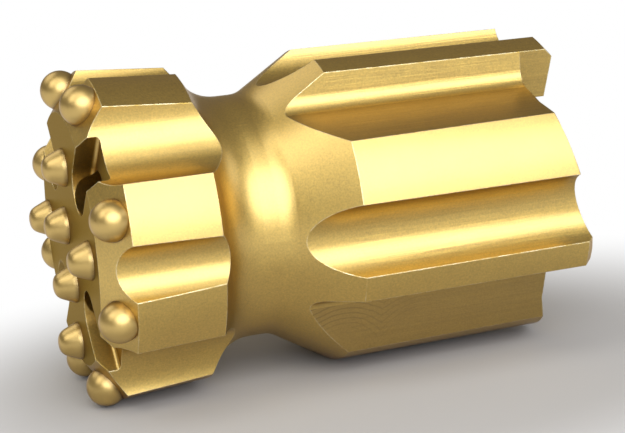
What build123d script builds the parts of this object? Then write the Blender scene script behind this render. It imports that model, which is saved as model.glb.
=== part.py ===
from build123d import *
import os
from math import acos, asin, atan2, cos, degrees, hypot, radians, sin, tan

os.makedirs("parts", exist_ok=True)

# Sizes are in mm and angles in degrees, all at full size.
# The bit is drawn standing on its face: Z is the drilling axis, zero at the front edge of the
# head's wings and growing towards the thread mouth. Angles start at a narrow flute of the head.
# The last block lays every piece on its side, the way the bit lies in the photo.

# Driving dimensions
gauge_diameter = 89.0
gauge_button_diameter = 10.5
front_button_diameter = 10.0
thread_major_diameter = 51.6
rear_end = 125.5
quarters = 4
overrun = 5.0

# Head: a tapered drum with a sloped gauge ring and a flat face, a little inside the gauge
gauge_inset = 1.1
head_taper = 1.8
head_length = 23.0
gauge_angle = 35.0
face_height = 7.0
head_front_radius = gauge_diameter / 2 - gauge_inset
head_rear_radius = head_front_radius - head_taper
face_radius = head_front_radius - face_height / tan(radians(gauge_angle))

# Neck behind the head, as a wall around the thread, then the cone that leads out to the skirt
head_back_angle = 58.0
neck_wall = 6.7
neck_length = 14.1
neck_front_fillet = 13.5
neck_rear_fillet = 9.0
cone_angle = 31.0
skirt_inset = 0.8
skirt_taper = 0.6
tooth_chamfer = 2.5
neck_radius = thread_major_diameter / 2 + neck_wall
skirt_front_radius = head_front_radius - skirt_inset
skirt_rear_radius = skirt_front_radius - skirt_taper
head_back_run = (head_rear_radius - neck_radius) / tan(radians(head_back_angle))
cone_run = (skirt_front_radius - neck_radius) / tan(radians(cone_angle))
neck_start = head_length + head_back_run
cone_start = neck_start + neck_length
skirt_start = cone_start + cone_run
neck_middle = (neck_start + cone_start) / 2
outside = gauge_diameter

# Each neck fillet keeps to its own share of the neck and of the slope beside it
front_fillet_neck_share = 0.7
rear_fillet_neck_share = 0.25
fillet_slope_share = 0.95
front_fillet_run = min(
    front_fillet_neck_share * neck_length,
    fillet_slope_share * hypot(head_back_run, head_rear_radius - neck_radius),
)
rear_fillet_run = min(
    rear_fillet_neck_share * neck_length,
    fillet_slope_share * hypot(cone_run, skirt_front_radius - neck_radius),
)
front_fillet_radius = min(neck_front_fillet, front_fillet_run / tan(radians(head_back_angle / 2)))
rear_fillet_radius = min(neck_rear_fillet, rear_fillet_run / tan(radians(cone_angle / 2)))

# Flutes of the head: a narrow and a wide round groove in each quarter
head_narrow_flute_radius = 7.8
head_narrow_flute_depth = 5.2
head_wide_flute_radius = 13.0
head_wide_flute_depth = 8.6
head_narrow_flute_offset = head_front_radius - head_narrow_flute_depth + head_narrow_flute_radius
head_wide_flute_offset = head_front_radius - head_wide_flute_depth + head_wide_flute_radius
quarter_angle = 360 / quarters
wide_flute_angle = quarter_angle / 2

# Flutes of the skirt: a round one, and a wide one milled as a step wall with a flat floor
round_flute_turn = 1.0
round_flute_radius = 10.0
round_flute_depth = 7.95
step_wall_offset = 17.25
step_corner_inset = 12.3
step_floor_angle = 19.3
step_corner_fillet = 4.8
round_flute_offset = skirt_front_radius - round_flute_depth + round_flute_radius
step_corner_depth = skirt_front_radius - step_corner_inset

# Pull-back teeth at the rear end: a flat gap behind each step wall, then a ramp to the next tip
gap_height = 9.9
ramp_start_angle = 47.0
ramp_end_angle = 109.5
ramp_past_tip = 3.0
gap_floor = rear_end - gap_height
tooth_wall_angle = degrees(asin(step_wall_offset / skirt_rear_radius))
ramp_lead = gap_height * 360 / (ramp_end_angle - ramp_start_angle)
ramp_sweep = ramp_end_angle + ramp_past_tip - ramp_start_angle

# Thread socket: guide bore, left-hand trapezoidal thread, relief, flat floor for the rod's end
guide_bore_step = 0.7
guide_bore_depth = 22.5
thread_depth = 3.4
thread_pitch = 19.0
thread_root_width = 4.5
thread_mouth_width = 8.6
thread_overlap = 1.5
socket_floor = 35.5
relief_length = 12.0
relief_step = 0.4
thread_root_radius = thread_major_diameter / 2
thread_crest_radius = thread_root_radius - thread_depth
relief_radius = thread_root_radius + relief_step
guide_bore_radius = thread_root_radius + guide_bore_step
guide_start = rear_end - guide_bore_depth
thread_flank_run = (thread_mouth_width - thread_root_width) / 2
thread_inner_width = thread_mouth_width + 2 * thread_flank_run * thread_overlap / thread_depth
thread_start = socket_floor + relief_length / 2

# Slots across the face into the wide flutes, and the flushing ways that end in them
slot_width = 13.0
slot_depth = 5.8
slot_inner_radius = 16.8
slot_floor_fillet = 1.2
slot_floor = slot_depth - face_height
channel_radius = 8.5
channel_land = 8.5
channel_tip_angle = 118.0
channel_front = socket_floor - channel_land
channel_tip = channel_front - channel_radius / tan(radians(channel_tip_angle / 2))
branch_radius = 5.8
branch_angle = 32.0
branch_exit_radius = slot_inner_radius + branch_radius / cos(radians(branch_angle))
branch_back = branch_exit_radius / tan(radians(branch_angle)) - face_height
branch_length = (branch_back + face_height + overrun) / cos(radians(branch_angle))

# Buttons: a shank seated in a flat-bottomed hole, with a head that stands out
hole_clearance = 0.01
shank_chamfer = 0.8
gauge_button_radius = gauge_button_diameter / 2
gauge_collar = 0.6
gauge_shank_depth = 11.0
gauge_button_angles = (19.0, 71.0)
dome_centre_radius = gauge_diameter / 2 - gauge_button_radius
gauge_row_radius = dome_centre_radius - gauge_collar * sin(radians(gauge_angle))
gauge_row_height = (gauge_row_radius - head_front_radius) * tan(radians(gauge_angle))
front_button_radius = front_button_diameter / 2
front_collar = 0.5
front_stand_out = 5.7
front_nose_radius = 2.8
front_shank_depth = 8.0
face_edge_land = 0.2
front_nose_height = front_stand_out - front_nose_radius
front_slant = hypot(front_button_radius, front_nose_height - front_collar)
front_cone_angle = degrees(
    acos(front_nose_radius / front_slant)
    - atan2(front_nose_height - front_collar, front_button_radius)
)
front_tangent_radius = front_nose_radius * cos(radians(front_cone_angle))
front_tangent_height = front_nose_height + front_nose_radius * sin(radians(front_cone_angle))

# Each front button's distance from the axis as a share of the widest circle on which it still
# stands on the flat face, and its angle
front_circle_radius = face_radius - front_button_radius - face_edge_land
front_button_shares = (
    (0.205, 206),
    (0.435, 92),
    (0.68, 269),
    (0.83, 0),
    (1.0, 179),
    (1.0, 92),
)

# Lying down, two wings of the head carry the bit, one on each side of a narrow flute
flute_edge_share = (
    head_front_radius**2 + head_narrow_flute_offset**2 - head_narrow_flute_radius**2
) / (2 * head_front_radius * head_narrow_flute_offset)
rest_height = head_front_radius * flute_edge_share
mid_length = (rear_end - face_height - front_stand_out) / 2


def at_angle(radius, angle):
    return (radius * cos(radians(angle)), radius * sin(radians(angle)))


# The blank, turned in one piece: head, neck, cone and skirt
with BuildPart() as blank:
    with BuildSketch(Plane.XZ) as blank_outline:
        with BuildLine():
            Polyline(
                (0, -face_height),
                (face_radius, -face_height),
                (head_front_radius, 0),
                (head_rear_radius, head_length),
                (neck_radius, head_length + head_back_run),
                (neck_radius, cone_start),
                (skirt_front_radius, skirt_start),
                (skirt_rear_radius, rear_end - tooth_chamfer),
                (skirt_rear_radius - tooth_chamfer, rear_end),
                (0, rear_end),
                close=True,
            )
        make_face()
        neck_corners = blank_outline.vertices().filter_by_position(
            Axis.X, neck_radius - hole_clearance, neck_radius + hole_clearance
        )
        fillet(neck_corners.sort_by(Axis.Y)[0], front_fillet_radius)
        neck_corners = blank_outline.vertices().filter_by_position(
            Axis.X, neck_radius - hole_clearance, neck_radius + hole_clearance
        )
        fillet(neck_corners.sort_by(Axis.Y)[-1], rear_fillet_radius)
    revolve(axis=Axis.Z)

# One wide flute of the skirt in plan: a step wall, a rounded corner and a flat floor
with BuildSketch() as step_flute:
    with BuildLine():
        Polyline(
            (step_wall_offset, -outside),
            (step_wall_offset, -step_corner_depth),
            (
                step_wall_offset + outside * cos(radians(step_floor_angle)),
                outside * sin(radians(step_floor_angle)) - step_corner_depth,
            ),
            (step_wall_offset + outside, -outside),
            close=True,
        )
    make_face()
    fillet(step_flute.vertices().sort_by_distance((0, 0, 0))[0], step_corner_fillet)

# The gap behind a pull-back tooth in plan, from the tooth's wall to the start of the next ramp
with BuildSketch() as tooth_gap:
    with BuildLine():
        Polyline(
            (0, 0),
            at_angle(outside, tooth_wall_angle),
            at_angle(outside, ramp_start_angle),
            close=True,
        )
    make_face()

# The ramp behind a pull-back tooth, as the helical cut that leaves it
with BuildPart() as ramp_cut:
    with BuildLine() as ramp_path:
        Helix(
            ramp_lead,
            ramp_lead * ramp_sweep / 360,
            skirt_rear_radius,
            center=(0, 0, gap_floor),
        )
    with BuildSketch(Plane.XZ):
        with Locations((thread_crest_radius / 2, gap_floor)):
            Rectangle(outside, gap_height + overrun, align=(Align.MIN, Align.MIN))
    sweep(path=ramp_path.wires()[0], is_frenet=True)

# The groove of the socket's left-hand thread, one trapezoid swept along its helix
with BuildPart() as thread_groove:
    with BuildLine() as thread_path:
        Helix(
            thread_pitch,
            guide_start - socket_floor,
            thread_crest_radius,
            center=(0, 0, thread_start),
            lefthand=True,
        )
    with BuildSketch(Plane.XZ):
        with BuildLine():
            Polyline(
                (thread_crest_radius - thread_overlap, thread_start - thread_inner_width / 2),
                (thread_crest_radius - thread_overlap, thread_start + thread_inner_width / 2),
                (thread_root_radius, thread_start + thread_root_width / 2),
                (thread_root_radius, thread_start - thread_root_width / 2),
                close=True,
            )
        make_face()
    sweep(path=thread_path.wires()[0], is_frenet=True)

# One slot of the face, with a rounded inner end and a small radius along its floor
with BuildPart() as slot_cut:
    with BuildSketch(Plane.XY.offset(slot_floor)):
        with Locations((slot_inner_radius + outside / 2, 0)):
            SlotOverall(outside, slot_width)
    extrude(amount=-slot_depth - overrun)
    fillet(slot_cut.faces().sort_by(Axis.Z)[-1].edges(), slot_floor_fillet)

# The seat of a gauge button lies square to the gauge ring, that of a front button to the face
gauge_angles = [
    first + quarter_angle * quarter for quarter in range(quarters) for first in gauge_button_angles
]
gauge_seats = [
    Plane(
        origin=(*at_angle(gauge_row_radius, angle), gauge_row_height),
        z_dir=(*at_angle(sin(radians(gauge_angle)), angle), -cos(radians(gauge_angle))),
    )
    for angle in gauge_angles
]
front_seats = [
    Plane(
        origin=(*at_angle(share * front_circle_radius, angle), -face_height),
        z_dir=(0, 0, -1),
    )
    for share, angle in front_button_shares
]

# The body: the blank with its flutes, teeth, socket, flushing ways and button holes
with BuildPart() as bit_body:
    add(blank.part)
    # Round grooves down the sides of the head
    with BuildSketch(Plane.XY.offset(-face_height - overrun)):
        with PolarLocations(head_narrow_flute_offset, quarters):
            Circle(head_narrow_flute_radius)
        with PolarLocations(head_wide_flute_offset, quarters, start_angle=wide_flute_angle):
            Circle(head_wide_flute_radius)
    extrude(amount=face_height + overrun + neck_middle, mode=Mode.SUBTRACT)
    # Round and stepped flutes down the skirt, running out on the cone
    with BuildSketch(Plane.XY.offset(neck_middle)):
        with PolarLocations(round_flute_offset, quarters, start_angle=round_flute_turn):
            Circle(round_flute_radius)
        with PolarLocations(0, quarters):
            add(step_flute.sketch)
    extrude(amount=rear_end + overrun - neck_middle, mode=Mode.SUBTRACT)
    # Gaps and ramps of the pull-back teeth
    with BuildSketch(Plane.XY.offset(gap_floor)):
        with PolarLocations(0, quarters):
            add(tooth_gap.sketch)
    extrude(amount=gap_height + overrun, mode=Mode.SUBTRACT)
    with PolarLocations(0, quarters, start_angle=ramp_start_angle):
        add(ramp_cut.part, mode=Mode.SUBTRACT)
    # Socket from the rear end: guide bore, thread crest, relief and floor
    with BuildSketch(Plane.XZ):
        with BuildLine():
            Polyline(
                (0, socket_floor),
                (relief_radius, socket_floor),
                (relief_radius, socket_floor + relief_length),
                (
                    thread_crest_radius,
                    socket_floor + relief_length + relief_radius - thread_crest_radius,
                ),
                (thread_crest_radius, guide_start),
                (guide_bore_radius, guide_start + guide_bore_radius - thread_crest_radius),
                (guide_bore_radius, rear_end + overrun),
                (0, rear_end + overrun),
                close=True,
            )
        make_face()
    revolve(axis=Axis.Z, mode=Mode.SUBTRACT)
    add(thread_groove.part, mode=Mode.SUBTRACT)
    # Face slots, the flushing channel and its branches that come out in the slots
    with PolarLocations(0, quarters, start_angle=wide_flute_angle):
        add(slot_cut.part, mode=Mode.SUBTRACT)
    with BuildSketch(Plane.XZ):
        with BuildLine():
            Polyline(
                (0, channel_tip),
                (channel_radius, channel_front),
                (channel_radius, socket_floor + relief_length),
                (0, socket_floor + relief_length),
                close=True,
            )
        make_face()
    revolve(axis=Axis.Z, mode=Mode.SUBTRACT)
    for quarter in range(quarters):
        branch_turn = wide_flute_angle + quarter_angle * quarter
        branch_plane = Plane(
            origin=(0, 0, branch_back),
            z_dir=(*at_angle(sin(radians(branch_angle)), branch_turn), -cos(radians(branch_angle))),
        )
        with BuildSketch(branch_plane):
            Circle(branch_radius)
        extrude(amount=branch_length, mode=Mode.SUBTRACT)
    # Flat-bottomed holes that the button shanks fit
    for seat in gauge_seats:
        with BuildSketch(seat):
            Circle(gauge_button_radius + hole_clearance)
        extrude(amount=-gauge_shank_depth, mode=Mode.SUBTRACT)
    for seat in front_seats:
        with BuildSketch(seat):
            Circle(front_button_radius + hole_clearance)
        extrude(amount=-front_shank_depth, mode=Mode.SUBTRACT)

# A gauge button: chamfered shank, short collar and a full round dome
with BuildPart() as gauge_button:
    with BuildSketch(Plane.XZ):
        with BuildLine():
            Polyline(
                (0, gauge_collar + gauge_button_radius),
                (0, -gauge_shank_depth),
                (gauge_button_radius - shank_chamfer, -gauge_shank_depth),
                (gauge_button_radius, shank_chamfer - gauge_shank_depth),
                (gauge_button_radius, gauge_collar),
            )
            CenterArc((0, gauge_collar), gauge_button_radius, 0, quarter_angle)
        make_face()
    revolve(axis=Axis.Z)

# A front button: the same kind of shank under a cone that ends in a round nose
with BuildPart() as front_button:
    with BuildSketch(Plane.XZ):
        with BuildLine():
            Polyline(
                (0, front_stand_out),
                (0, -front_shank_depth),
                (front_button_radius - shank_chamfer, -front_shank_depth),
                (front_button_radius, shank_chamfer - front_shank_depth),
                (front_button_radius, front_collar),
                (front_tangent_radius, front_tangent_height),
            )
            CenterArc(
                (0, front_nose_height),
                front_nose_radius,
                front_cone_angle,
                quarter_angle - front_cone_angle,
            )
        make_face()
    revolve(axis=Axis.Z)

# Lay the pieces down: the axis along X with the face towards -X, a narrow flute at the bottom
lying = Plane(origin=(-mid_length, 0, rest_height), x_dir=(0, -1, 0), z_dir=(1, 0, 0))
with BuildPart(lying) as bit_body_lying:
    add(bit_body.part)
pieces = {"bit_body": bit_body_lying.part}
for number, seat in enumerate(gauge_seats, start=1):
    with BuildPart(Plane(lying.location * seat.location)) as seated_button:
        add(gauge_button.part)
    pieces[f"gauge_button_{number}"] = seated_button.part
for number, seat in enumerate(front_seats, start=1):
    with BuildPart(Plane(lying.location * seat.location)) as seated_button:
        add(front_button.part)
    pieces[f"front_button_{number}"] = seated_button.part
for name, piece in pieces.items():
    piece.label = name
    export_step(piece, f"parts/{name}.step")
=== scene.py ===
import math

import bpy
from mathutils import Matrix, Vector


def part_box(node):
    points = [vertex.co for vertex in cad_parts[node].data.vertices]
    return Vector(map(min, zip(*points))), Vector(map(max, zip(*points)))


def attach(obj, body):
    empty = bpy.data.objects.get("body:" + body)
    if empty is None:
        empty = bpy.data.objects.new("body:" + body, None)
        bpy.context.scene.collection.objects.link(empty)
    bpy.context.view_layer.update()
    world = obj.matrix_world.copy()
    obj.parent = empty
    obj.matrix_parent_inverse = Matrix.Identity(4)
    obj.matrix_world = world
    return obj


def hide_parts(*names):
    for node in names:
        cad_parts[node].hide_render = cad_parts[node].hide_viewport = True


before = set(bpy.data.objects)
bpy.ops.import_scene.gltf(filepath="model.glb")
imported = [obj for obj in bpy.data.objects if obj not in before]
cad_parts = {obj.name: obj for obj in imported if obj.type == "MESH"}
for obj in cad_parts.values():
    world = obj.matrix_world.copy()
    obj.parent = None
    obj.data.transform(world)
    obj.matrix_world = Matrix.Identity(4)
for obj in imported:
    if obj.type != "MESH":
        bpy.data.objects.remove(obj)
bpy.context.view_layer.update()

# A millimetre in metres, which are the scene's unit
MM = 0.001

# The bit's axis runs along X at this height above the floor.
low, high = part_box("bit_body")
axis_height = (low[2] + high[2]) / 2

# Places along the axis and distances from it that tell the turned surfaces from the milled ones
neck_from = -27.7 * MM
cone_to = 3.2 * MM
neck_inside = 31.5 * MM
crest_radius = 41.4 * MM
crest_blend = 0.4 * MM

# The stepped flutes' floors: the way the first one faces round the axis, in degrees, how far they
# lie from the axis, to within a slack, and where along it they start
step_floor_turn = -160.7
step_floor_distance = 34.3 * MM
step_floor_slack = 0.3 * MM
step_floor_front = -8 * MM
# The cutter's path: its middle across the floor, its first stop and the way between two stops
step_cutter_middle = 27 * MM
step_cutter_first = 1 * MM
step_cutter_stride = 22 * MM
# The arcs it left: their spacing, how far they wander, where its rim starts to bite and bites
# most, where the marks are mostly rubbed out, and how strong they are on each of the four floors
step_cutter_feed = 1.6 * MM
step_cutter_wander = 3 * MM
step_cutter_bite_from = 6 * MM
step_cutter_bite_full = 14 * MM
step_marks_end = 44 * MM
step_cutter_mark_shares = (1.0, 0.6, 0.8, 0.2)

# Other marks on the body: how far apart, long, wide or deep they are
lathe_ring_spacing = 0.7 * MM
flute_line_spacing = 0.9 * MM
flute_line_length = 30 * MM
blasting_grain = 0.5 * MM
body_patch = 7 * MM
rubbed_edge_width = 0.4 * MM
chip_spacing = 2.5 * MM
corner_shade_reach = 7 * MM
body_relief_depth = 0.03 * MM

# The same on the buttons, which are smoother
button_grain = 0.35 * MM
button_patch = 3 * MM
button_foot_shade_reach = 1.6 * MM
button_relief_depth = 0.012 * MM


# Colours are written as sRGB hex values and turned to the linear values that shaders read.
def linear(code):
    out = []
    for i in (1, 3, 5):
        part = int(code[i : i + 2], 16) / 255
        out.append(part / 12.92 if part <= 0.04045 else ((part + 0.055) / 1.055) ** 2.4)
    return (*out, 1.0)


# Adds one node: settings are set by name, inputs take values or other nodes' outputs. A Mix node's
# two colours are its inputs 6 and 7, and its mixed colour is output 2.
def add_node(tree, kind, inputs=None, **settings):
    node = tree.nodes.new(kind)
    for name, value in settings.items():
        setattr(node, name, value)
    for key, value in (inputs or {}).items():
        if isinstance(value, bpy.types.NodeSocket):
            tree.links.new(value, node.inputs[key])
        else:
            node.inputs[key].default_value = value
    return node


# An empty material, and the tree that its nodes go into
def new_material(name):
    material = bpy.data.materials.new(name)
    material.use_nodes = True
    material.node_tree.nodes.clear()
    return material, material.node_tree


# Where a point is from the bit's axis: as a vector, as X, Y and Z, and as a distance
def place_from_axis(tree):
    place = add_node(
        tree,
        "ShaderNodeMapping",
        {
            "Vector": add_node(tree, "ShaderNodeTexCoord").outputs["Object"],
            "Location": (0, 0, -axis_height),
        },
    ).outputs["Vector"]
    position = add_node(tree, "ShaderNodeSeparateXYZ", {"Vector": place}).outputs
    across = add_node(
        tree, "ShaderNodeVectorMath", {0: place, 1: (0, 1, 1)}, operation="MULTIPLY"
    ).outputs["Vector"]
    radius = add_node(
        tree, "ShaderNodeVectorMath", {0: across}, operation="LENGTH"
    ).outputs["Value"]
    return place, position, radius


# The turned surfaces: the neck and cone, and the crests between the flutes
def turned_surfaces(tree, position, radius):
    on_crest = add_node(
        tree,
        "ShaderNodeMapRange",
        {"Value": radius, "From Min": crest_radius, "From Max": crest_radius + crest_blend},
    ).outputs["Result"]
    behind_head = add_node(
        tree, "ShaderNodeMath", {0: position["X"], 1: neck_from}, operation="GREATER_THAN"
    ).outputs["Value"]
    before_skirt = add_node(
        tree, "ShaderNodeMath", {0: position["X"], 1: cone_to}, operation="LESS_THAN"
    ).outputs["Value"]
    between = add_node(
        tree, "ShaderNodeMath", {0: behind_head, 1: before_skirt}, operation="MULTIPLY"
    ).outputs["Value"]
    outside = add_node(
        tree, "ShaderNodeMath", {0: radius, 1: neck_inside}, operation="GREATER_THAN"
    ).outputs["Value"]
    on_neck = add_node(
        tree, "ShaderNodeMath", {0: between, 1: outside}, operation="MULTIPLY"
    ).outputs["Value"]
    return add_node(
        tree, "ShaderNodeMath", {0: on_crest, 1: on_neck}, operation="MAXIMUM"
    ).outputs["Value"]


# Lathe rings: the real feed of 0.25 mm is too fine to show, so they are drawn further apart.
def lathe_rings(tree, position, turned):
    ring = add_node(
        tree,
        "ShaderNodeTexNoise",
        {"W": position["X"], "Scale": 1 / lathe_ring_spacing, "Detail": 2.0, "Roughness": 0.6},
        noise_dimensions="1D",
    ).outputs["Fac"]
    return add_node(
        tree, "ShaderNodeMath", {0: ring, 1: turned}, operation="MULTIPLY"
    ).outputs["Value"]


# Lines that milling left along the flutes: the skirt's long flutes are scored more deeply than
# the head's short ones.
def flute_lines(tree, place, position, facing, turned):
    stretched = add_node(
        tree,
        "ShaderNodeMapping",
        {"Vector": place, "Scale": (flute_line_spacing / flute_line_length, 1, 1)},
    ).outputs["Vector"]
    line = add_node(
        tree,
        "ShaderNodeTexNoise",
        {"Vector": stretched, "Scale": 1 / flute_line_spacing, "Detail": 3.0, "Roughness": 0.65},
    ).outputs["Fac"]
    endways = add_node(
        tree, "ShaderNodeMath", {0: facing["X"]}, operation="ABSOLUTE"
    ).outputs["Value"]
    along = add_node(
        tree,
        "ShaderNodeMapRange",
        {"Value": endways, "From Min": 0.15, "From Max": 0.3, "To Min": 1.0, "To Max": 0.0},
    ).outputs["Result"]
    milled = add_node(
        tree, "ShaderNodeMath", {0: along, 1: turned}, operation="SUBTRACT", use_clamp=True
    ).outputs["Value"]
    scored = add_node(
        tree,
        "ShaderNodeMapRange",
        {
            "Value": position["X"],
            "From Min": neck_from,
            "From Max": cone_to,
            "To Min": 0.6,
            "To Max": 2.0,
        },
    ).outputs["Result"]
    depth = add_node(
        tree, "ShaderNodeMath", {0: milled, 1: scored}, operation="MULTIPLY"
    ).outputs["Value"]
    centred = add_node(
        tree, "ShaderNodeMath", {0: line, 1: 0.5}, operation="SUBTRACT"
    ).outputs["Value"]
    return add_node(
        tree, "ShaderNodeMath", {0: centred, 1: depth}, operation="MULTIPLY"
    ).outputs["Value"]


# The four stepped floors, and the arcs that the cutter's rim left on them round each of its stops
def stepped_floors(tree, place, position, normal, cloud):
    uneven_feed = add_node(
        tree,
        "ShaderNodeMath",
        {0: cloud, 1: step_cutter_wander, 2: position["X"]},
        operation="MULTIPLY_ADD",
    ).outputs["Value"]
    past_first = add_node(
        tree,
        "ShaderNodeMath",
        {0: uneven_feed, 1: step_cutter_first + step_cutter_wander / 2},
        operation="SUBTRACT",
    ).outputs["Value"]
    from_stop = add_node(
        tree, "ShaderNodeMath", {0: past_first, 1: step_cutter_stride / 2}, operation="PINGPONG"
    ).outputs["Value"]
    floors = 0.0
    arcs = 0.0
    for quarter, mark_share in enumerate(step_cutter_mark_shares):
        turn = math.radians(step_floor_turn + 90 * quarter)
        outwards = (0, math.cos(turn), math.sin(turn))
        sideways = (0, -math.sin(turn), math.cos(turn))
        level = add_node(
            tree, "ShaderNodeVectorMath", {0: normal, 1: outwards}, operation="DOT_PRODUCT"
        ).outputs["Value"]
        depth = add_node(
            tree, "ShaderNodeVectorMath", {0: place, 1: outwards}, operation="DOT_PRODUCT"
        ).outputs["Value"]
        side = add_node(
            tree, "ShaderNodeVectorMath", {0: place, 1: sideways}, operation="DOT_PRODUCT"
        ).outputs["Value"]
        flat = add_node(
            tree, "ShaderNodeMath", {0: level, 1: 0.995}, operation="GREATER_THAN"
        ).outputs["Value"]
        at_depth = add_node(
            tree,
            "ShaderNodeMath",
            {0: depth, 1: step_floor_distance, 2: step_floor_slack},
            operation="COMPARE",
        ).outputs["Value"]
        on_floor = add_node(
            tree, "ShaderNodeMath", {0: flat, 1: at_depth}, operation="MULTIPLY"
        ).outputs["Value"]
        floors = add_node(
            tree, "ShaderNodeMath", {0: floors, 1: on_floor}, operation="ADD"
        ).outputs["Value"]

        from_middle = add_node(
            tree, "ShaderNodeMath", {0: side, 1: step_cutter_middle}, operation="SUBTRACT"
        ).outputs["Value"]
        from_cutter = add_node(
            tree, "ShaderNodeCombineXYZ", {"X": from_stop, "Y": from_middle}
        ).outputs["Vector"]
        swing = add_node(
            tree, "ShaderNodeVectorMath", {0: from_cutter}, operation="LENGTH"
        ).outputs["Value"]
        turns = add_node(
            tree,
            "ShaderNodeMath",
            {0: swing, 1: 2 * math.pi / step_cutter_feed},
            operation="MULTIPLY",
        ).outputs["Value"]
        wave = add_node(tree, "ShaderNodeMath", {0: turns}, operation="SINE").outputs["Value"]
        bite = add_node(
            tree,
            "ShaderNodeMapRange",
            {
                "Value": swing,
                "From Min": step_cutter_bite_from,
                "From Max": step_cutter_bite_full,
                "To Min": 0.3,
                "To Max": 1.0,
            },
        ).outputs["Result"]
        strength = add_node(
            tree, "ShaderNodeMath", {0: bite, 1: mark_share}, operation="MULTIPLY"
        ).outputs["Value"]
        wave_on_floor = add_node(
            tree, "ShaderNodeMath", {0: wave, 1: on_floor}, operation="MULTIPLY"
        ).outputs["Value"]
        arc = add_node(
            tree, "ShaderNodeMath", {0: wave_on_floor, 1: strength}, operation="MULTIPLY"
        ).outputs["Value"]
        arcs = add_node(
            tree, "ShaderNodeMath", {0: arcs, 1: arc}, operation="ADD"
        ).outputs["Value"]

    # The marks are deepest where the cutter came in and mostly rubbed out further on.
    fading = add_node(
        tree,
        "ShaderNodeMapRange",
        {
            "Value": position["X"],
            "From Min": step_floor_front,
            "From Max": step_marks_end,
            "To Min": 1.0,
            "To Max": 0.25,
        },
    ).outputs["Result"]
    arcs = add_node(
        tree, "ShaderNodeMath", {0: arcs, 1: fading}, operation="MULTIPLY"
    ).outputs["Value"]
    return floors, arcs


# Edges rubbed bright and broken here and there, partly worn and partly a painted highlight,
# found where rounding turns the surface's normal
def rubbed_and_highlit_edges(tree, place, normal, rounded, shelter):
    sameness = add_node(
        tree, "ShaderNodeVectorMath", {0: rounded, 1: normal}, operation="DOT_PRODUCT"
    ).outputs["Value"]
    edge = add_node(
        tree,
        "ShaderNodeMapRange",
        {"Value": sameness, "From Min": 0.995, "From Max": 0.9, "To Min": 0.0, "To Max": 1.0},
    ).outputs["Result"]
    chip = add_node(
        tree,
        "ShaderNodeTexNoise",
        {"Vector": place, "Scale": 1 / chip_spacing, "Detail": 3.0, "Roughness": 0.7},
    ).outputs["Fac"]
    chipped = add_node(
        tree, "ShaderNodeMapRange", {"Value": chip, "From Min": 0.35, "From Max": 0.6}
    ).outputs["Result"]
    raised = add_node(
        tree, "ShaderNodeMapRange", {"Value": shelter, "From Min": 0.75, "From Max": 0.95}
    ).outputs["Result"]
    broken_edge = add_node(
        tree, "ShaderNodeMath", {0: edge, 1: chipped}, operation="MULTIPLY"
    ).outputs["Value"]
    return add_node(
        tree, "ShaderNodeMath", {0: broken_edge, 1: raised}, operation="MULTIPLY"
    ).outputs["Value"]
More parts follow.
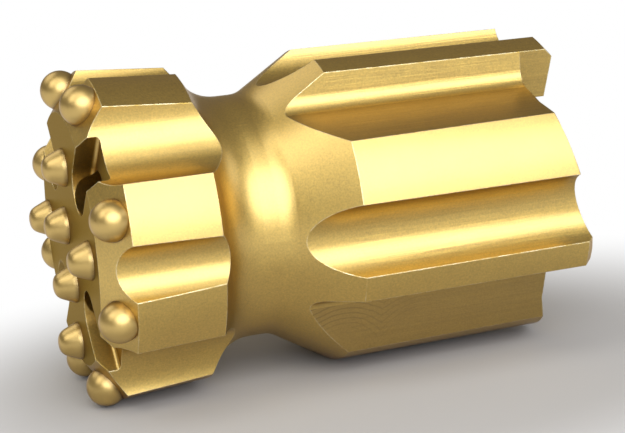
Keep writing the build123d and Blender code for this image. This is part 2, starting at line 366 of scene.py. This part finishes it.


# Gold-coloured titanium nitride over shot-blasted steel: a soft, slightly grainy metallic gold
# with pale highlights, faint lathe rings on the turned surfaces, lines along the milled flutes,
# cutter arcs on the stepped flutes' floors, bright rubbed edges with a painted highlight on them,
# and painted shade in the corners, on the flat face and on the stepped floors.
def coated_blasted_steel():
    material, tree = new_material("coated_blasted_steel")
    place, position, radius = place_from_axis(tree)
    normal = add_node(tree, "ShaderNodeNewGeometry").outputs["Normal"]
    facing = add_node(tree, "ShaderNodeSeparateXYZ", {"Vector": normal}).outputs
    # Grain of the blasting, whose 0.15 mm grit is drawn coarser so that it shows, and cloudy
    # patches of the coating
    grain = add_node(
        tree,
        "ShaderNodeTexNoise",
        {"Vector": place, "Scale": 1 / blasting_grain, "Detail": 4.0, "Roughness": 0.7},
    ).outputs["Fac"]
    cloud = add_node(
        tree,
        "ShaderNodeTexNoise",
        {"Vector": place, "Scale": 1 / body_patch, "Detail": 3.0, "Roughness": 0.6},
    ).outputs["Fac"]
    turned = turned_surfaces(tree, position, radius)
    rings = lathe_rings(tree, position, turned)
    lines = flute_lines(tree, place, position, facing, turned)
    floors, arcs = stepped_floors(tree, place, position, normal, cloud)
    rounded = add_node(
        tree, "ShaderNodeBevel", {"Radius": rubbed_edge_width}, samples=4
    ).outputs["Normal"]
    shelter = add_node(
        tree, "ShaderNodeAmbientOcclusion", {"Distance": corner_shade_reach}, samples=4
    ).outputs["AO"]
    rubbed_and_highlit = rubbed_and_highlit_edges(tree, place, normal, rounded, shelter)
    on_face = add_node(
        tree, "ShaderNodeMapRange", {"Value": facing["X"], "From Min": -0.95, "From Max": -0.99}
    ).outputs["Result"]

    # A cloudy gold, mottled by the grain and the lines
    tone = add_node(
        tree,
        "ShaderNodeMix",
        {0: cloud, 6: linear("#C2A048"), 7: linear("#CFAE52")},
        data_type="RGBA",
    ).outputs[2]
    grained = add_node(
        tree,
        "ShaderNodeMapRange",
        {"Value": grain, "From Min": 0.3, "From Max": 0.7, "To Min": 0.82, "To Max": 1.18},
    ).outputs["Result"]
    lined = add_node(
        tree, "ShaderNodeMath", {0: lines, 1: 0.2, 2: grained}, operation="MULTIPLY_ADD"
    ).outputs["Value"]
    mottled = add_node(
        tree, "ShaderNodeVectorMath", {0: tone, "Scale": lined}, operation="SCALE"
    ).outputs["Vector"]
    # The flat face is painted duller and browner than the rest, partly for its rougher finish and
    # partly as painted shade, and the stepped floors a little browner.
    face_shaded = add_node(
        tree,
        "ShaderNodeMix",
        {0: on_face, 6: mottled, 7: linear("#A08D56")},
        data_type="RGBA",
    ).outputs[2]
    # The stepped floors' browner colour is painted shade, for the dim floor they face down towards.
    floor_shade_share = add_node(
        tree, "ShaderNodeMath", {0: floors, 1: 0.4}, operation="MULTIPLY"
    ).outputs["Value"]
    floors_shaded = add_node(
        tree,
        "ShaderNodeMix",
        {0: floor_shade_share, 6: face_shaded, 7: linear("#7A5A1C")},
        data_type="RGBA",
    ).outputs[2]
    marks = add_node(
        tree,
        "ShaderNodeMapRange",
        {"Value": arcs, "From Min": 0.4, "From Max": 0.95, "To Min": 0.0, "To Max": 0.45},
    ).outputs["Result"]
    marked = add_node(
        tree,
        "ShaderNodeMix",
        {0: marks, 6: floors_shaded, 7: linear("#6E541C")},
        data_type="RGBA",
    ).outputs[2]
    # Painted shade: the corners, slots and holes are painted darker and browner, standing in for
    # the shade that falls in them.
    corner_painted_shade = add_node(
        tree,
        "ShaderNodeMapRange",
        {"Value": shelter, "From Min": 0.75, "From Max": 0.2, "To Min": 0.0, "To Max": 0.85},
    ).outputs["Result"]
    corner_shaded = add_node(
        tree,
        "ShaderNodeMix",
        {0: corner_painted_shade, 6: marked, 7: linear("#80500F")},
        data_type="RGBA",
    ).outputs[2]
    # The pale cream along the edges is partly wear and partly a painted highlight.
    colour = add_node(
        tree,
        "ShaderNodeMix",
        {0: rubbed_and_highlit, 6: corner_shaded, 7: linear("#FFF6CC")},
        data_type="RGBA",
    ).outputs[2]

    # The relief: grain with the rings and lines on it, and the arcs cut in
    ringed = add_node(
        tree, "ShaderNodeMath", {0: rings, 1: 0.5, 2: grain}, operation="MULTIPLY_ADD"
    ).outputs["Value"]
    scratched = add_node(
        tree, "ShaderNodeMath", {0: lines, 1: 2.6, 2: ringed}, operation="MULTIPLY_ADD"
    ).outputs["Value"]
    relief = add_node(
        tree, "ShaderNodeMath", {0: arcs, 1: -0.25, 2: scratched}, operation="MULTIPLY_ADD"
    ).outputs["Value"]
    bump = add_node(
        tree,
        "ShaderNodeBump",
        {"Height": relief, "Strength": 0.6, "Distance": body_relief_depth, "Normal": rounded},
    ).outputs["Normal"]
    dullness = add_node(
        tree,
        "ShaderNodeMapRange",
        {"Value": grain, "From Min": 0.3, "From Max": 0.7, "To Min": 0.33, "To Max": 0.43},
    ).outputs["Result"]
    # The coating has less gloss on the flat face.
    glazed = add_node(
        tree, "ShaderNodeMath", {0: on_face, 1: -0.6, 2: 0.7}, operation="MULTIPLY_ADD"
    ).outputs["Value"]
    skin = add_node(
        tree,
        "ShaderNodeBsdfPrincipled",
        {
            "Base Color": colour,
            "Metallic": 1.0,
            "Roughness": dullness,
            "Normal": bump,
            "Coat Weight": glazed,
            "Coat Roughness": 0.32,
            "Coat IOR": 1.85,
            "Specular Tint": linear("#B49A62"),
        },
    ).outputs["BSDF"]
    add_node(tree, "ShaderNodeOutputMaterial", {"Surface": skin})
    return material


# Sintered carbide buttons under the same coating: finer in grain than the body and a little darker,
# so that each crown carries a soft round highlight, with painted shade at its foot where it goes
# in.
def coated_carbide():
    material, tree = new_material("coated_carbide")
    place = add_node(tree, "ShaderNodeTexCoord").outputs["Object"]
    grain = add_node(
        tree,
        "ShaderNodeTexNoise",
        {"Vector": place, "Scale": 1 / button_grain, "Detail": 3.0, "Roughness": 0.6},
    ).outputs["Fac"]
    cloud = add_node(
        tree,
        "ShaderNodeTexNoise",
        {"Vector": place, "Scale": 1 / button_patch, "Detail": 3.0, "Roughness": 0.6},
    ).outputs["Fac"]
    tone = add_node(
        tree,
        "ShaderNodeMix",
        {0: cloud, 6: linear("#BC9B48"), 7: linear("#CDAC58")},
        data_type="RGBA",
    ).outputs[2]
    shelter = add_node(
        tree, "ShaderNodeAmbientOcclusion", {"Distance": button_foot_shade_reach}, samples=4
    ).outputs["AO"]
    # Painted shade round each button's foot, where it goes into the body
    foot_shade = add_node(
        tree,
        "ShaderNodeMapRange",
        {"Value": shelter, "From Min": 0.9, "From Max": 0.45, "To Min": 0.0, "To Max": 0.8},
    ).outputs["Result"]
    colour = add_node(
        tree,
        "ShaderNodeMix",
        {0: foot_shade, 6: tone, 7: linear("#5A4216")},
        data_type="RGBA",
    ).outputs[2]
    bump = add_node(
        tree,
        "ShaderNodeBump",
        {"Height": grain, "Strength": 0.3, "Distance": button_relief_depth},
    ).outputs["Normal"]
    dullness = add_node(
        tree,
        "ShaderNodeMapRange",
        {"Value": cloud, "From Min": 0.3, "From Max": 0.7, "To Min": 0.36, "To Max": 0.43},
    ).outputs["Result"]
    skin = add_node(
        tree,
        "ShaderNodeBsdfPrincipled",
        {
            "Base Color": colour,
            "Metallic": 1.0,
            "Roughness": dullness,
            "Normal": bump,
            "Coat Weight": 0.8,
            "Coat Roughness": 0.36,
            "Coat IOR": 1.85,
            "Specular Tint": linear("#B49A62"),
        },
    ).outputs["BSDF"]
    add_node(tree, "ShaderNodeOutputMaterial", {"Surface": skin})
    return material


body_finish = coated_blasted_steel()
button_finish = coated_carbide()
for name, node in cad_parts.items():
    for slot in node.material_slots:
        slot.material = body_finish if name == "bit_body" else button_finish

# Outline of a blunt front button's crown: how far each ring stands back from the tip, and its
# radius, both as shares of the button's radius
blunt_crown_shares = (
    (1.04, 1.0),
    (0.9, 0.945),
    (0.66, 0.84),
    (0.42, 0.735),
    (0.27, 0.65),
    (0.165, 0.56),
    (0.09, 0.45),
    (0.04, 0.325),
    (0.012, 0.18),
)
button_sides = 96
# Faces that meet at less than this stay smooth: the crown's rings, and not the shank's end.
button_smooth_angle = math.radians(35)


# A blunt ballistic button: a plain shank whose front cap is drawn out ring by ring to a broad,
# softly rounded nose. It is modelled in one node's place and comes with that place's middle.
def blunt_front_button(node_name):
    low, high = (Vector(corner_painted_shade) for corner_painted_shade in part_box(node_name))
    middle = (low + high) / 2
    crown_radius = (high.y - low.y) / 2
    shank_front = low.x + blunt_crown_shares[0][0] * crown_radius
    bpy.ops.object.select_all(action="DESELECT")
    bpy.ops.mesh.primitive_cylinder_add(
        vertices=button_sides,
        radius=crown_radius,
        depth=high.x - shank_front,
        location=((high.x + shank_front) / 2, middle.y, middle.z),
        rotation=(0, math.radians(-90), 0),
    )
    button = bpy.context.object
    bpy.ops.object.transform_apply(location=True, rotation=True, scale=True)
    bpy.ops.object.mode_set(mode="EDIT")
    bpy.ops.mesh.select_all(action="DESELECT")
    bpy.ops.mesh.select_mode(type="FACE")
    bpy.ops.object.mode_set(mode="OBJECT")
    # Only the front cap faces forward, which is -X.
    for face in button.data.polygons:
        face.select = face.normal.x < -0.9
    bpy.ops.object.mode_set(mode="EDIT")
    for ring, following in zip(blunt_crown_shares, blunt_crown_shares[1:]):
        step = (ring[0] - following[0]) * crown_radius
        narrowing = following[1] / ring[1]
        ring_place = low.x + following[0] * crown_radius
        bpy.ops.mesh.extrude_region_move(TRANSFORM_OT_translate={"value": (-step, 0, 0)})
        bpy.ops.transform.resize(
            value=(1, narrowing, narrowing),
            center_override=(ring_place, middle.y, middle.z),
        )
    last_step = blunt_crown_shares[-1][0] * crown_radius
    bpy.ops.mesh.extrude_region_move(TRANSFORM_OT_translate={"value": (-last_step, 0, 0)})
    bpy.ops.mesh.merge(type="CENTER")
    bpy.ops.mesh.select_all(action="SELECT")
    bpy.ops.mesh.normals_make_consistent(inside=False)
    bpy.ops.object.mode_set(mode="OBJECT")
    bpy.ops.object.shade_smooth_by_angle(angle=button_smooth_angle)
    return button, middle


# The six front buttons: the first is modelled, and a copy of it goes to each other one's place.
first_button, first_middle = blunt_front_button("front_button_1")
for number in range(1, 7):
    button = first_button
    if number > 1:
        button = first_button.copy()
        button.data = first_button.data.copy()
        bpy.context.scene.collection.objects.link(button)
        low, high = (Vector(corner_painted_shade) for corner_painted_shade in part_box(f"front_button_{number}"))
        shift = (low + high) / 2 - first_middle
        for vertex in button.data.vertices:
            vertex.co += shift
    button.name = f"blunt_front_button_{number}"
    button.data.materials.clear()
    button.data.materials.append(button_finish)
    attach(button, "root")
    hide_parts(f"front_button_{number}")

# The sheet that the bit lies on: its size in metres, the middle of the grey pool on it, which is
# painted shade, and how far from there it starts to turn white and is white. Along X only this
# share of the way counts, so that the grey is longer that way, as the bit is.
sheet_size = 12
painted_shade_middle = (11.43 * MM, -20 * MM)
painted_shade_along_share = 0.7
white_from = 52 * MM
white_to = 125 * MM


# Pale grey paper that keeps the bit's soft shadow and is a painted shade pool round the bit,
# turning to plain white away from it. The white is for the camera and for what metal mirrors,
# and lights nothing else.
def pale_sheet():
    material, tree = new_material("pale_sheet")
    place = add_node(
        tree,
        "ShaderNodeMapping",
        {
            "Vector": add_node(tree, "ShaderNodeTexCoord").outputs["Object"],
            "Location": (-painted_shade_middle[0] * painted_shade_along_share, -painted_shade_middle[1], 0),
            "Scale": (painted_shade_along_share, 1, 1),
        },
    ).outputs["Vector"]
    away = add_node(
        tree, "ShaderNodeVectorMath", {0: place}, operation="LENGTH"
    ).outputs["Value"]
    whitening = add_node(
        tree,
        "ShaderNodeMapRange",
        {"Value": away, "From Min": white_from, "From Max": white_to},
        interpolation_type="SMOOTHSTEP",
    ).outputs["Result"]
    ray = add_node(tree, "ShaderNodeLightPath").outputs
    seen_or_mirrored = add_node(
        tree,
        "ShaderNodeMath",
        {0: ray["Is Camera Ray"], 1: ray["Is Glossy Ray"]},
        operation="ADD",
    ).outputs["Value"]
    seen = add_node(
        tree,
        "ShaderNodeMath",
        {0: seen_or_mirrored, 1: ray["Is Transmission Ray"]},
        operation="ADD",
        use_clamp=True,
    ).outputs["Value"]
    whiteness = add_node(
        tree, "ShaderNodeMath", {0: seen, 1: whitening}, operation="MULTIPLY"
    ).outputs["Value"]
    paper = add_node(
        tree, "ShaderNodeBsdfDiffuse", {"Color": linear("#B1AEA9")}
    ).outputs["BSDF"]
    white = add_node(tree, "ShaderNodeEmission", {"Strength": 1.0}).outputs["Emission"]
    surface = add_node(
        tree, "ShaderNodeMixShader", {0: whiteness, 1: paper, 2: white}
    ).outputs["Shader"]
    add_node(tree, "ShaderNodeOutputMaterial", {"Surface": surface})
    return material


bpy.ops.object.select_all(action="DESELECT")
bpy.ops.mesh.primitive_plane_add(size=sheet_size)
floor = bpy.context.object
floor.name = "floor"
floor.data.materials.append(pale_sheet())


# A soft oval lamp a metre off: its turn and rise from the bit's middle are in degrees, its width
# and height in metres. Its glow is the brightness of its face, where 1 shows a mirror as white.
def soft_lamp(name, turn, rise, width, height, glow, tint="#FFFFFF"):
    turn, rise = math.radians(turn), math.radians(rise)
    towards = Vector(
        (math.cos(turn) * math.cos(rise), math.sin(turn) * math.cos(rise), math.sin(rise))
    )
    light = bpy.data.lights.new(name, "AREA")
    light.shape = "ELLIPSE"
    light.size, light.size_y = width, height
    light.color = linear(tint)[:3]
    light.energy = glow * math.pi * (math.pi / 4 * width * height)
    lamp = bpy.data.objects.new(name, light)
    bpy.context.scene.collection.objects.link(lamp)
    lamp.location = Vector((0, 0, axis_height)) + towards
    lamp.rotation_mode = "QUATERNION"
    lamp.rotation_quaternion = (-towards).to_track_quat("-Z", "Y")


soft_lamp("key_softbox", -86, 31, 1.5, 0.95, 4.5, tint="#EEF3FF")
soft_lamp("top_softbox", -110, 74, 1.0, 0.4, 1.8)
soft_lamp("back_softbox", 125, 42, 0.9, 0.6, 1.3)
soft_lamp("left_softbox", -160, 44, 0.5, 0.7, 2.5)
soft_lamp("right_softbox", -10, 28, 0.5, 0.45, 1.5)
world = bpy.data.worlds.new("studio")
world.use_nodes = True
world.node_tree.nodes["Background"].inputs["Color"].default_value = linear("#8A8680")
bpy.context.scene.world = world

# The photograph's camera: its place in metres from the middle of the bit's underside, its
# turns in degrees, and its lens and sensor width in millimetres
camera_place = (-0.1412, -0.43078, 0.15542)
camera_turns = (75.661, 3.390, -19.435)
lens_length = 98.7
sensor_width = 36
lens = bpy.data.cameras.new("camera")
lens.sensor_width = sensor_width
lens.lens = lens_length
camera = bpy.data.objects.new("camera", lens)
bpy.context.scene.collection.objects.link(camera)
camera.location = camera_place
camera.rotation_euler = [math.radians(turn) for turn in camera_turns]
bpy.context.scene.camera = camera
bpy.context.scene.view_settings.view_transform = "Standard"
